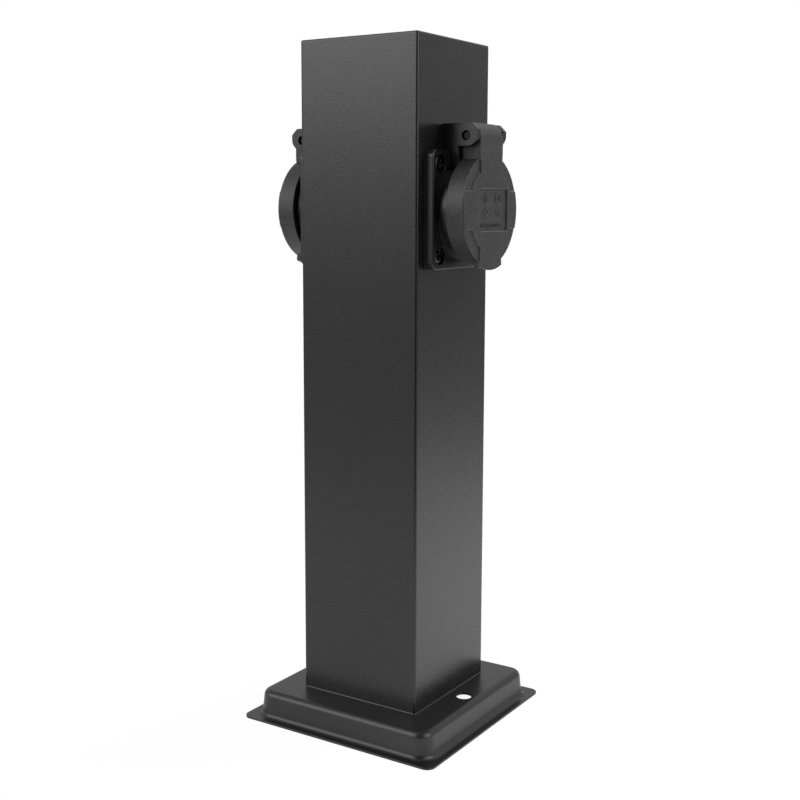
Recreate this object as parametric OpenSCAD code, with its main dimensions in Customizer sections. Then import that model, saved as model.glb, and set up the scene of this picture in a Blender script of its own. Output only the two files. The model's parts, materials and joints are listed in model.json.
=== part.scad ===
// Garden socket post: a square coated steel post on a pressed base, with a sprung-lid
// socket on each of two opposite sides. Millimetres, +Z up, origin under the centre of the base.

/* [Post] */
// Width of the square post, face to face
post_w = 60; // [58:0.5:64]
// Sheet thickness of the post
post_wall = 1.5; // [1.2:0.1:2]
// Outer radius of the post's long edges
post_edge_r = 1; // [0.9:0.1:2]
// Radius of the post's top rim
post_top_r = 0.8; // [0.3:0.1:0.8]
// Height of the top of the post above the ground
total_h = 304; // [285:1:340]
// Reach of the fixing tabs that are folded in at the foot of the post
tab_reach = 11; // [10:0.5:12]
// Length of each fixing tab along the wall
tab_len = 40; // [38:1:46]
// Depth of the rim under the top cap
cap_rim_h = 8; // [5:0.5:14]

/* [Base] */
// Width of the base over its flat flange
base_w = 101; // [100:1:120]
// Width of the flange outside the plinth's walls
foot_land = 4.3; // [4:0.1:6]
// Height of the plinth's top above the ground
base_h = 12.5; // [11.5:0.5:18]
// Sheet thickness of the pressed base
sheet_t = 0.8; // [0.6:0.1:1.2]
// Corner radius of the flange
foot_corner_r = 4; // [2:0.5:7]
// Corner radius at the foot of the plinth's walls
plinth_corner_r = 7.5; // [6.5:0.5:8]
// Slope of the plinth's walls from upright
plinth_draft = 6; // [2:1:7]
// Radius pressed along the plinth's top edge
plinth_top_r = 3; // [2:0.1:3.5]
// Radius pressed into the foot of the plinth's walls
foot_fillet_r = 2.2; // [1.5:0.1:2.5]
// Diameter of the two mounting holes
mount_hole_d = 7; // [5:0.5:8]
// Distance from the post's face out to a mounting hole's centre
mount_hole_out = 7.5; // [6.5:0.5:8]

/* [Socket] */
// Distance of the sockets' centres below the top of the post
socket_drop = 72.5; // [60:0.5:95]
// Width of the square socket flange
flange_w = 50; // [48:0.5:54]
// Width of the flange outside the housing's rear body
flange_land = 3.8; // [3.4:0.1:4.2]
// Thickness of the socket flange
flange_t = 3.4; // [3.2:0.1:4]
// Thickness of the gasket behind the flange
gasket_t = 1.2; // [1:0.1:2]
// Corner radius of the flange and the gasket
flange_corner_r = 3; // [1.5:0.5:4]
// Radius of the flange's front edge
flange_edge_r = 0.5; // [0.2:0.1:1]
// Distance of the flange screws from the flange's edges
screw_inset = 6; // [5.5:0.1:6.4]
// Thread diameter of the flange screws
screw_d = 3.5; // [3:0.1:4]
// Head diameter of the flange screws
screw_head_d = 6.8; // [6:0.1:7.2]
// Height of the flange screws' heads
screw_head_h = 2; // [1.4:0.1:2.2]
// How far the flange screws' heads are sunk below the flange's front
screw_sink = 0.6; // [0:0.1:0.6]
// Wall of the housing's rear body round the plug recess
rear_wall = 1.45; // [1.2:0.05:1.8]
// Depth of the plug recess behind the collar's rim
recess_depth = 17.2; // [16:0.1:18.5]
// Wall of the collar round the recess
collar_wall = 1.3; // [1:0.05:1.4]
// Height of the collar above the flange
collar_h = 9.6; // [9.2:0.1:9.6]
// Thickness of the recess floor
floor_t = 3; // [2:0.1:4]
// Depth of the housing behind the recess floor's front face
rear_depth = 20.3; // [19.5:0.1:21]
// Thickness of the rear cover
cover_t = 1.8; // [1.2:0.1:2.2]
// Spacing of the two line contacts
pin_pitch = 19; // [18.5:0.5:19.5]
// Diameter of the pin holes in the recess floor
pin_hole_d = 5.4; // [5:0.1:5.6]

/* [Lid] */
// Radial room between the collar and the lid's skirt
lid_room = 0.95; // [0.9:0.05:1.3]
// Wall of the lid's skirt
lid_wall = 1.5; // [1.2:0.1:1.8]
// Depth of the lid's skirt, from the front to its back edge
lid_depth = 8.7; // [8.2:0.1:8.9]
// Thickness of the lid's front
lid_plate_t = 2.6; // [2.2:0.1:2.8]
// Depth of the four crescents sunk in the lid's front
crescent_depth = 0.6; // [0.4:0.1:1.2]
// Width of the crescents, in from the lid's edge
crescent_w = 5.5; // [4:0.5:7]
// Height of the raised band across the lid
lid_band_h = 16; // [12:0.5:20]
// Width of the neck and the finger tab
neck_w = 19.5; // [18.5:0.5:21]
// Waist of the raised strip between the neck and the tab
strip_waist = 18; // [16:0.5:18]
// How far the finger tab stands out past the lid's edge
tab_out = 2; // [1:0.5:4]
// Width of the sunk panel in the raised disc
panel_w = 25; // [20:0.5:27]
// Height of the sunk panel
panel_h = 18; // [14:0.5:20]
// Depth of the sunk panel
panel_depth = 0.6; // [0.3:0.1:1]
// Offset of the sunk panel from the lid's middle
panel_shift = 1.9; // [0:0.1:2.5]
// Thickness of the seal ring in the lid
seal_t = 1.4; // [1:0.1:1.4]

/* [Hinge] */
// Height of the hinge pin above the lid's edge
hinge_rise = 7.4; // [7.1:0.1:8.5]
// Diameter of the hinge pin
hinge_pin_d = 4; // [3:0.1:4.2]
// Radius of the lid's hinge barrel
barrel_r = 5.6; // [5.3:0.1:5.8]
// Thickness of each hinge ear
ear_t = 2.6; // [2:0.1:2.8]
// Wire diameter of the lid spring
spring_wire_d = 0.8; // [0.6:0.05:0.9]
// Turns of the lid spring
spring_turns = 5; // [3:1:6]
// Distance from one turn of the lid spring to the next
spring_pitch = 1.6; // [1.4:0.05:1.8]

/* [Wiring] */
// Bore of the cable grommet
cable_d = 10; // [6:0.5:12]
// Thickness of the terminal bracket
bracket_t = 1.2; // [1:0.1:2]
// Height of the terminal bracket above the base
bracket_h = 49; // [46:1:60]
// Pitch of the terminal block's poles
pole_pitch = 10; // [9.5:0.5:10.5]
// Diameter of the insulated wires
wire_d = 2.9; // [2.4:0.1:3]

/* [Hidden] */
$fn = 48;

// Clearances
thread_gap = 0.05;
slip_gap = 0.1;
pass_gap = 0.25;
side_gap = 0.2;
rim_gap = 0.2;
free_gap = 0.5;
eps = 1;

// Colours
coat = "#2b2c2e";
plastic = "#2e2f31";
rubber = "#1d1d1e";
dark_screw = "#232426";
steel = "#b9bcc0";
brass = "#c9a24a";
nylon = "#e9e6dc";

// Post and base levels
post_inside = post_w - 2 * post_wall;
post_inner_r = max(post_edge_r - post_wall, 0.2);
tab_top = base_h + post_wall;
tab_screw_y = post_inside / 2 - tab_reach / 2;
tab_screw_in = 6;
tab_screw_x = tab_len / 2 - tab_screw_in;
plinth_w = base_w - 2 * foot_land;
edge_drop = base_h - plinth_top_r - sheet_t;
edge_x = plinth_corner_r - (plinth_top_r + edge_drop * sin(plinth_draft)) / cos(plinth_draft);
foot_x = plinth_corner_r + foot_fillet_r * (1 - sin(plinth_draft)) / cos(plinth_draft);
sheet_lap = 0.5;
m4_r = 2;
m4_head_r = 3.8;
m4_head_h = 2.6;
screw_proud = 1.5;
slot_w = 0.9;
small_slot_w = 0.6;

// Socket levels, measured out from the post's face
socket_z = total_h - socket_drop;
screw_pitch = flange_w - 2 * screw_inset;
flange_back = gasket_t;
flange_front = flange_back + flange_t;
collar_front = flange_front + collar_h;
recess_floor = collar_front - recess_depth;
floor_back = recess_floor - floor_t;
rear_face = recess_floor - rear_depth;
cover_back = rear_face - cover_t;
rear_r = flange_w / 2 - flange_land;
recess_r = rear_r - rear_wall;
collar_r = recess_r + collar_wall;
collar_edge = 0.5;
gasket_inset = 0.4;
screw_grip = 4;
rib_w = 5.5;
rib_in = 2.7;
rib_root = 1;
rib_drop = 2;
head_front = flange_front - screw_sink;
head_seat = head_front - screw_head_h;

// Lid levels
lid_r = collar_r + lid_room + lid_wall;
lid_disc_r = lid_r - crescent_w;
lid_plate_in = collar_front + rim_gap + seal_t;
lid_front = lid_plate_in + lid_plate_t;
lid_back = lid_front - lid_depth;
lid_edge_r = 0.6;
panel_r = 0.8;
tab_in = 8;
seal_in = 2.5;
neck_wall = 1.8;
neck_in = 6;

// Hinge: the pin's place, the fixed bracket and the spring's room
hinge_out = lid_front - barrel_r;
hinge_up = lid_r + hinge_rise;
pin_r = hinge_pin_d / 2;
ear_inner = neck_w / 2 + side_gap;
ear_outer = ear_inner + ear_t;
ear_back = flange_back;
cheek_front = lid_back - free_gap;
bracket_front = hinge_out - barrel_r - free_gap;
bracket_in = 2;
bracket_low = recess_r - bracket_in;
ear_top = 5.2;
ear_bottom = -4.3;
ear_chamfer = 2.8;
ear_round = 4.8;
pin_sink = 1.1;
pin_dome = 0.6;
boss_inner = 6.2;
spring_wire_r = spring_wire_d / 2;
spring_fit = 0.6;
spring_r = pin_r + spring_fit + spring_wire_r;
shell_inner = spring_r + spring_wire_r + free_gap;
shell_end = 0.5;
ledge_drop = spring_r + spring_wire_r + slip_gap / 2;
ledge_t = 2;
ledge_in = 2;
stop_rise = 1.6;
stop_root = 0.5;
stop_reach = hinge_out - shell_inner - side_gap;
rings_per_turn = 8;
spring_sides = 6;
leg_tip = 1;
leg_bend = 2;
lid_leg_bend = 1.5;

// Contacts behind the recess floor
sleeve_r = 3.95;
sleeve_bore = 2.4;
contact_v = pin_pitch / 2;
term_v = contact_v - 1;
term_w = 5;
term_low = -13.5;
term_high = -7.5;
term_depth = 8.2;
term_t = 1;
wire_in = 6;
wire_u = rear_face + wire_in;
m25_r = 1.25;
m22_r = 1.1;
m25_head_r = 2;
m25_head_h = 1;
cover_screw_up = 12;
cover_screw_len = 6;
cover_screw_room = 8;
sleeve_slit = 0.8;
sleeve_root = 5;
strip_short = 2;
screw_short = 0.8;
clip_w = 5;
clip_t = 0.8;
clip_bar = 1;
clip_inset = 1.55;
clip_reach = recess_r - clip_inset;
clip_slot_out = 0.6;
clip_slot_rim = 3;
prong_lead = 2;
prong_mid = 8;
prong_tip = 13;
prong_dip = 2.4;
prong_curl = 0.4;
earth_pocket_w = 6.8;
earth_term = 5.8;
earth_term_len = 8.3;
earth_term_in = 3;
earth_term_back = floor_back - clip_bar - earth_term_len;
earth_wire_u = earth_term_back + earth_term_in;

// Terminal block on its bracket
bracket_gap = 2.5;
bracket_x = post_inside / 2 - bracket_gap;
foot_in = 26;
foot_w = 24;
block_d = 13.5;
block_side = 5.5;
block_w = 2 * pole_pitch + 2 * block_side;
block_h = 24;
block_rise = 23;
block_low = base_h + block_rise;
block_high = block_low + block_h;
pole_back = 7;
pole_x = bracket_x - pole_back;
tube_r = 2.9;
tube_bore = 2;
tube_inset = 1;
clamp_z = 5;
clamp_proud = 1.5;
clamp_short = 1.7;
m3_r = 1.5;
m3_head_r = 2.7;
m3_head_h = 2;
earth_in = 20;
earth_x = bracket_x - earth_in;
bolt_proud = 1.2;
lug_t = 0.8;
lug_neck_w = 4;
lug_neck = 1;
lug_barrel_r = 2;
lug_barrel_len = 3.6;
grommet_x = -12;
grommet_lip = 2.5;
grommet_edge = 0.8;
grommet_wall = 3;
grommet_hole_r = cable_d / 2 + grommet_wall;
nut_h = 3.2;
nut_r = 4;

// Wires
wire_r = wire_d / 2;
bare_r = 0.7;
bare_len = 8;
bare_tip = 5.5;
strip_step = 0.1;
wire_fan = 2.6;
wire_drop = 3;
lug_strip = 4.5;
lug_start = 0.5;
turn_start = [1.4, 1.2];
turn_mid = [0.3, 3.4];
turn_end = 6;
twin = 0.75;
spread = 1.55;
wire_sides = 8;

// Flat rectangle with rounded corners, centred
module rounded_rect(w, h, r) {
    square([w - 2 * r, h], center = true);
    square([w, h - 2 * r], center = true);
    for (x = [-1, 1], y = [-1, 1])
        translate([x * (w / 2 - r), y * (h / 2 - r)])
            circle(r = r);
}

// Half profile of a turned block with one rounded front edge
module turned_block(r, low, high, edge) {
    translate([0, low])
        square([r, high - low - edge]);
    translate([0, low])
        square([r - edge, high - low]);
    translate([r - edge, high - edge])
        intersection() {
            circle(r = edge);
            square(edge);
        }
}

// Square block with rounded corners and one rounded top edge
module edged_block(w, corner, low, high, edge) {
    half = w / 2 - corner;
    for (turn = [0:90:270])
        rotate([0, 0, turn])
            translate([half, half, 0]) {
                rotate_extrude(angle = 90)
                    turned_block(corner, low, high, edge);
                rotate([90, 0, 0])
                    linear_extrude(2 * half)
                        turned_block(corner, low, high, edge);
            }
    translate([-half, -half, low])
        cube([2 * half, 2 * half, high - low]);
}

// Socket frame on one side of the post: X out of the face, Y across it, Z up
module on_side(turn) {
    rotate([0, 0, turn])
        translate([post_w / 2, 0, socket_z])
            children();
}

// Flat shape across the face, carried out of it
module along_u(from, to) {
    translate([from, 0, 0])
        rotate([90, 0, 90])
            linear_extrude(to - from)
                children();
}

// Side profile, carried across the face
module across_v(from, to) {
    translate([0, to, 0])
        rotate([90, 0, 0])
            linear_extrude(to - from)
                children();
}

// Half profile turned about the socket's axis
module spin_u() {
    rotate([90, 0, 90])
        rotate_extrude()
            children();
}

// Round bar out of the face, at a point on it
module bar_u(v, w, from, to, r) {
    translate([from, v, w])
        rotate([0, 90, 0])
            cylinder(h = to - from, r = r);
}

// Pan head with a cross slot on a round shank, head top at z = 0
module pan_screw(shank_r, shank_len, head_r, head_h, slot = slot_w) {
    difference() {
        union() {
            translate([0, 0, -head_h])
                rotate_extrude()
                    turned_block(head_r, 0, head_h, head_h * 0.45);
            translate([0, 0, -head_h - shank_len])
                cylinder(h = shank_len, r = shank_r);
        }
        for (turn = [0, 90])
            rotate([0, 0, turn])
                translate([-head_r * 0.6, -slot / 2, -head_h * 0.55])
                    cube([head_r * 1.2, slot, head_h]);
    }
}

function unit(v) = v / norm(v);
function heading(path, i) = unit(path[min(i + 1, len(path) - 1)] - path[max(i - 1, 0)]);
function side_of(path, i) = unit(cross(heading(path, i), [0, 1, 0]));
function ring(path, i, r, sides) = [
    for (k = [0:sides - 1])
        let (turn = 360 * k / sides, n = side_of(path, i), b = cross(heading(path, i), n))
            path[i] + r * (cos(turn) * n + sin(turn) * b)
];

// Round tube swept along a path, with a radius at each of its points
module tube_along(path, radii, sides) {
    n = len(path);
    points = [for (i = [0:n - 1]) each ring(path, i, radii[i], sides)];
    walls = [
        for (i = [0:n - 2], k = [0:sides - 1])
            let (a = i * sides + k, b = i * sides + (k + 1) % sides)
                each [[a, a + sides, b], [b, a + sides, b + sides]]
    ];
    start = [for (k = [1:sides - 2]) [0, k, k + 1]];
    last = (n - 1) * sides;
    finish = [for (k = [1:sides - 2]) [last, last + k + 1, last + k]];
    polyhedron(points, concat(walls, start, finish));
}

// Square steel tube with socket openings and fixing tabs folded in at its foot
module post_tube() {
    color(coat)
        difference() {
            union() {
                difference() {
                    edged_block(post_w, post_edge_r, base_h, total_h, post_top_r);
                    translate([0, 0, base_h - eps])
                        linear_extrude(total_h - base_h + 2 * eps)
                            rounded_rect(post_inside, post_inside, post_inner_r);
                }
                for (side = [-1, 1])
                    translate([0, side * (post_w - post_wall - tab_reach) / 2, tab_top - post_wall / 2])
                        cube([tab_len, tab_reach, post_wall], center = true);
            }
            translate([0, 0, socket_z])
                rotate([0, 90, 0])
                    cylinder(h = post_w + 2 * eps, r = rear_r + free_gap, center = true);
            for (v = [-1, 1], w = [-1, 1])
                translate([0, v * screw_pitch / 2, socket_z + w * screw_pitch / 2])
                    rotate([0, 90, 0])
                        cylinder(h = post_w + 2 * eps, r = screw_d / 2 + thread_gap, center = true);
            tab_holes(m4_r + thread_gap);
        }
}

// Drills for the four post screws
module tab_holes(r) {
    for (x = [-1, 1], y = [-1, 1])
        translate([x * tab_screw_x, y * tab_screw_y, 0])
            cylinder(h = tab_top + eps, r = r);
}

// Plug cap flush in the top of the post
module top_cap() {
    cap_w = post_inside - 2 * slip_gap;
    rim_w = cap_w - 2 * post_wall;
    color(coat)
        translate([0, 0, total_h - post_wall - cap_rim_h])
            difference() {
                linear_extrude(cap_rim_h + post_wall)
                    rounded_rect(cap_w, cap_w, post_inner_r + slip_gap);
                translate([0, 0, -eps])
                    linear_extrude(cap_rim_h + eps)
                        rounded_rect(rim_w, rim_w, post_inner_r + slip_gap);
            }
}

// Bend of the pressed sheet round the origin, between two directions
module sheet_bend(inner_r, from, to) {
    reach = 2 * (inner_r + sheet_t);
    intersection() {
        difference() {
            circle(r = inner_r + sheet_t);
            circle(r = inner_r);
        }
        polygon([
            [0, 0],
            reach * [cos(from), sin(from)],
            reach * [cos(to), sin(to)]
        ]);
    }
}

// Section of the pressed sheet, out from the centre of a plinth corner; each flat of it has a
// point at its end that runs into the bend
module plinth_section() {
    out = [cos(plinth_draft), sin(plinth_draft)];
    up = [-sin(plinth_draft), cos(plinth_draft)];
    edge = [edge_x, base_h - plinth_top_r];
    foot = [foot_x, sheet_t + foot_fillet_r];
    polygon([
        [0, base_h],
        [0, base_h - sheet_t],
        [edge_x, base_h - sheet_t],
        [edge_x + sheet_lap, base_h - sheet_t / 2],
        [edge_x, base_h]
    ]);
    translate(edge)
        sheet_bend(plinth_top_r - sheet_t, plinth_draft, 90);
    polygon([
        edge + plinth_top_r * out,
        edge + (plinth_top_r - sheet_t / 2) * out + sheet_lap * up,
        edge + (plinth_top_r - sheet_t) * out,
        foot - (foot_fillet_r + sheet_t) * out,
        foot - (foot_fillet_r + sheet_t / 2) * out - sheet_lap * up,
        foot - foot_fillet_r * out
    ]);
    translate(foot)
        sheet_bend(foot_fillet_r, 180 + plinth_draft, 270);
    polygon([
        [foot_x, sheet_t],
        [foot_x - sheet_lap, sheet_t / 2],
        [foot_x, 0],
        [foot_x + sheet_lap, 0],
        [foot_x + sheet_lap, sheet_t]
    ]);
}

// Pressed sheet base: flat flange, sloping plinth, open underneath
module base_plate() {
    corner = plinth_w / 2 - plinth_corner_r;
    hollow = 2 * (corner + foot_x);
    middle = 2 * corner + 2 * sheet_lap;
    color(coat)
        difference() {
            union() {
                for (turn = [0:90:270])
                    rotate([0, 0, turn]) {
                        translate([corner, corner, 0])
                            rotate_extrude(angle = 90)
                                plinth_section();
                        translate([corner, corner, 0])
                            rotate([90, 0, 0])
                                linear_extrude(2 * corner)
                                    plinth_section();
                    }
                translate([-middle / 2, -middle / 2, base_h - sheet_t])
                    cube([middle, middle, sheet_t]);
                linear_extrude(sheet_t)
                    difference() {
                        rounded_rect(base_w, base_w, foot_corner_r);
                        rounded_rect(hollow, hollow, foot_x);
                    }
            }
            for (side = [-1, 1])
                translate([side * (post_w / 2 + mount_hole_out), 0, 0])
                    cylinder(h = base_h + eps, d = mount_hole_d);
            tab_holes(m4_r + pass_gap);
            translate([earth_x, 0, 0])
                cylinder(h = base_h + eps, r = m4_r + pass_gap);
            translate([grommet_x, 0, 0])
                cylinder(h = base_h + eps, r = grommet_hole_r);
        }
}

// Four screws up through the base into the post's tabs
module post_screws() {
    color(steel)
        for (x = [-1, 1], y = [-1, 1])
            translate([x * tab_screw_x, y * tab_screw_y, base_h - sheet_t - m4_head_h])
                rotate([180, 0, 0])
                    pan_screw(m4_r, tab_top + screw_proud - base_h + sheet_t, m4_head_r, m4_head_h);
}

// Rubber grommet in the base's cable hole
module cable_grommet() {
    lip_r = grommet_hole_r + grommet_lip;
    neck_r = grommet_hole_r - thread_gap;
    color(rubber)
        translate([grommet_x, 0, base_h - sheet_t])
            rotate_extrude()
                difference() {
                    union() {
                        translate([0, -grommet_lip])
                            square([lip_r, grommet_lip]);
                        square([neck_r, sheet_t]);
                        turned_block(lip_r, sheet_t, sheet_t + grommet_lip, grommet_edge);
                    }
                    translate([0, -grommet_lip - eps])
                        square([cable_d / 2, sheet_t + 2 * grommet_lip + 2 * eps]);
                }
}

// Folded steel bracket that holds the terminal block inside the post
module terminal_bracket() {
    color(steel)
        difference() {
            union() {
                translate([bracket_x - foot_in, -foot_w / 2, base_h])
                    cube([foot_in + bracket_t, foot_w, bracket_t]);
                translate([bracket_x, -block_w / 2, base_h])
                    cube([bracket_t, block_w, bracket_h]);
            }
            translate([earth_x, 0, base_h - eps])
                cylinder(h = bracket_t + 2 * eps, r = m4_r + pass_gap);
            for (y = [-1, 1])
                translate([bracket_x - eps, y * pole_pitch / 2, block_low + block_h / 2])
                    rotate([0, 90, 0])
                        cylinder(h = bracket_t + 2 * eps, r = m3_r + thread_gap);
        }
}

// Moulded body of the three-pole terminal block
module terminal_block() {
    color(nylon)
        difference() {
            translate([bracket_x - block_d, -block_w / 2, block_low])
                cube([block_d, block_w, block_h]);
            for (pole = [-1:1])
                translate([pole_x, pole * pole_pitch, block_low - eps])
                    cylinder(h = block_h + 2 * eps, r = tube_r + slip_gap);
            for (pole = [-1:1], z = [block_low + clamp_z, block_high - clamp_z])
                translate([bracket_x - block_d - eps, pole * pole_pitch, z])
                    rotate([0, 90, 0])
                        cylinder(h = block_d - pole_back + eps, r = m25_head_r + slip_gap);
            for (y = [-1, 1])
                translate([bracket_x - block_d, y * pole_pitch / 2, block_low + block_h / 2])
                    rotate([0, 90, 0]) {
                        translate([0, 0, -eps])
                            cylinder(h = block_d + 2 * eps, r = m3_r + slip_gap);
                        translate([0, 0, -eps])
                            cylinder(h = m3_head_h + eps, r = m3_head_r + slip_gap);
                    }
        }
}

// Three brass clamping tubes in the terminal block
module terminal_tubes() {
    color(brass)
        for (pole = [-1:1])
            difference() {
                translate([pole_x, pole * pole_pitch, block_low + tube_inset])
                    cylinder(h = block_h - 2 * tube_inset, r = tube_r);
                translate([pole_x, pole * pole_pitch, block_low])
                    cylinder(h = block_h, r = tube_bore);
                for (z = [block_low + clamp_z, block_high - clamp_z])
                    translate([pole_x - tube_r - eps, pole * pole_pitch, z])
                        rotate([0, 90, 0])
                            cylinder(h = tube_r + eps, r = m25_r + thread_gap);
            }
}

// Six clamping screws in the terminal block
module clamp_screws() {
    head_top = pole_x - tube_r - clamp_proud - m25_head_h;
    shank = clamp_proud + tube_r - clamp_short;
    color(steel)
        for (pole = [-1:1], z = [block_low + clamp_z, block_high - clamp_z])
            translate([head_top, pole * pole_pitch, z])
                rotate([0, -90, 0])
                    pan_screw(m25_r, shank, m25_head_r, m25_head_h, small_slot_w);
}

// Two screws that hold the terminal block to its bracket
module block_screws() {
    color(steel)
        for (y = [-1, 1])
            translate([bracket_x - block_d, y * pole_pitch / 2, block_low + block_h / 2])
                rotate([0, -90, 0])
                    pan_screw(m3_r, block_d - m3_head_h + bracket_t, m3_head_r, m3_head_h);
}

// Bolt that earths the base, the bracket and the post
module earth_bolt() {
    bolt_len = sheet_t + bracket_t + lug_t + nut_h + bolt_proud;
    color(steel)
        translate([earth_x, 0, base_h - sheet_t - m4_head_h])
            rotate([180, 0, 0])
                pan_screw(m4_r, bolt_len, m4_head_r, m4_head_h);
}

// Hexagon nut on the earth bolt
module earth_nut() {
    color(steel)
        translate([earth_x, 0, base_h + bracket_t + lug_t])
            difference() {
                cylinder(h = nut_h, r = nut_r, $fn = 6);
                translate([0, 0, -eps])
                    cylinder(h = nut_h + 2 * eps, r = m4_r + thread_gap);
            }
}

// Ring terminal on the earth bolt, with its crimped barrel
module earth_lug() {
    color(steel)
        translate([earth_x, 0, base_h + bracket_t])
            difference() {
                union() {
                    cylinder(h = lug_t, r = nut_r);
                    translate([0, -lug_neck_w / 2, 0])
                        cube([nut_r + lug_neck, lug_neck_w, lug_t]);
                    lug_bar(nut_r + lug_neck, lug_barrel_len, lug_barrel_r);
                }
                translate([0, 0, -eps])
                    cylinder(h = lug_t + 2 * eps, r = m4_r + pass_gap);
                lug_bar(nut_r + lug_neck - eps, lug_barrel_len + 2 * eps, bare_r + slip_gap);
            }
}

// Round bar along the axis of the lug's crimp barrel
module lug_bar(from, len, r) {
    translate([from, 0, lug_barrel_r])
        rotate([0, 90, 0])
            cylinder(h = len, r = r);
}

function smooth(t) = t * t * (3 - 2 * t);

// Path from a pole up to a socket's terminal, straight at both ends
function riser(side, y, to) =
    let (x = pole_x + side * spread, low = block_high + wire_fan, high = socket_z - rear_r - wire_drop)
        concat(
            [[pole_x + side * twin, y, block_high - bare_len], [pole_x + side * twin, y, block_high]],
            [[x, y, low - strip_step]],
            [
                for (i = [0:10])
                    let (t = i / 10, s = smooth(t))
                        [x + (to[0] - x) * s, y + (to[1] - y) * s, low + (high - low) * t]
            ],
            [to - [0, 0, strip_step], to, to + [0, 0, bare_tip]]
        );
function wire_radii(path, bare_start) = [
    for (i = [0:len(path) - 1])
        i < bare_start || i > len(path) - 3 ? bare_r : wire_r
];

// One wire from a pole to a socket
module riser_wire(side, y, to) {
    path = riser(side, y, to);
    tube_along(path, wire_radii(path, 3), wire_sides);
}

// Two wires from one line pole, one to each socket
module line_wires(pole) {
    for (side = [-1, 1])
        riser_wire(
            side,
            pole * pole_pitch,
            [side * (post_w / 2 + wire_u), pole * term_v, socket_z + term_low]
        );
}

// Brown wires from the live pole
module live_wires() {
    color("saddlebrown")
        line_wires(-1);
}

// Blue wires from the neutral pole
module neutral_wires() {
    color("royalblue")
        line_wires(1);
}

// Two earth wires up to the sockets and one down to the earth bolt
module earth_wires() {
    lug_end = earth_x + nut_r + lug_neck;
    lug_z = base_h + bracket_t + lug_barrel_r;
    down = [
        [lug_end + lug_start, 0, lug_z],
        [lug_end + lug_strip, 0, lug_z],
        [lug_end + lug_strip + strip_step, 0, lug_z],
        [pole_x - turn_start[0], 0, lug_z + turn_start[1]],
        [pole_x - turn_mid[0], 0, lug_z + turn_mid[1]],
        [pole_x, 0, lug_z + turn_end],
        [pole_x, 0, block_low - strip_step],
        [pole_x, 0, block_low],
        [pole_x, 0, block_low + bare_len]
    ];
    color("olivedrab") {
        for (side = [-1, 1])
            riser_wire(side, 0, [side * (post_w / 2 + earth_wire_u), 0, socket_z + term_low]);
        tube_along(down, wire_radii(down, 2), wire_sides);
    }
}

// Ear and cheek profile of the fixed hinge bracket
module ear_profile() {
    front = lid_front - hinge_out;
    translate([hinge_out, hinge_up]) {
        polygon([
            [ear_back - hinge_out, bracket_low - hinge_up],
            [cheek_front - hinge_out, bracket_low - hinge_up],
            [cheek_front - hinge_out, ear_bottom],
            [front - ear_round, ear_bottom],
            [front - ear_round, ear_bottom + ear_round],
            [front, ear_bottom + ear_round],
            [front, ear_top - ear_chamfer],
            [front - ear_chamfer, ear_top],
            [ear_back - hinge_out, ear_top]
        ]);
        translate([front - ear_round, ear_bottom + ear_round])
            circle(r = ear_round);
    }
}

// Fixed half of the hinge: back wall, ears, spring seat and lid stop
module hinge_bracket() {
    across_v(-ear_outer, ear_outer)
        translate([ear_back, bracket_low])
            square([bracket_front - ear_back, hinge_up + ear_top - bracket_low]);
    across_v(-ear_outer, -ear_inner)
        ear_profile();
    across_v(ear_inner, ear_outer)
        ear_profile();
    across_v(-boss_inner, boss_inner)
        translate([bracket_front - stop_root, hinge_up - ledge_drop - ledge_t])
            square([stop_reach - bracket_front + stop_root, ledge_t]);
    across_v(0, boss_inner - slip_gap)
        translate([bracket_front - stop_root, hinge_up - ledge_drop - ledge_t])
            square([stop_reach - bracket_front + stop_root, ledge_t + stop_rise]);
}

// Moulded housing: flange, collar, plug recess, hinge bracket and contact chambers
module socket_housing() {
    color(plastic)
        difference() {
            union() {
                rotate([90, 0, 90])
                    edged_block(flange_w, flange_corner_r, flange_back, flange_front, flange_edge_r);
                spin_u()
                    turned_block(collar_r, flange_back, collar_front, collar_edge);
                spin_u()
                    translate([0, rear_face])
                        square([rear_r, flange_front - rear_face]);
                hinge_bracket();
            }
            difference() {
                spin_u()
                    translate([0, recess_floor])
                        square([recess_r, recess_depth + eps]);
                guide_ribs();
            }
            chambers();
            for (v = [-1, 1], w = [-1, 1])
                translate([0, v * screw_pitch / 2, w * screw_pitch / 2]) {
                    bar_u(0, 0, 0, flange_front + eps, screw_d / 2 + pass_gap);
                    bar_u(0, 0, head_seat, flange_front + eps, screw_head_d / 2 + free_gap);
                }
            translate([hinge_out, -ear_outer - eps, hinge_up])
                rotate([-90, 0, 0])
                    cylinder(h = 2 * ear_outer + 2 * eps, r = pin_r + thread_gap);
        }
}

// Two ribs that guide a plug into the recess
module guide_ribs() {
    for (side = [-1, 1])
        translate([recess_floor - eps, side > 0 ? recess_r - rib_in : -recess_r - rib_root, -rib_w / 2])
            cube([recess_depth - rib_drop + eps, rib_in + rib_root, rib_w]);
}

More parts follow.
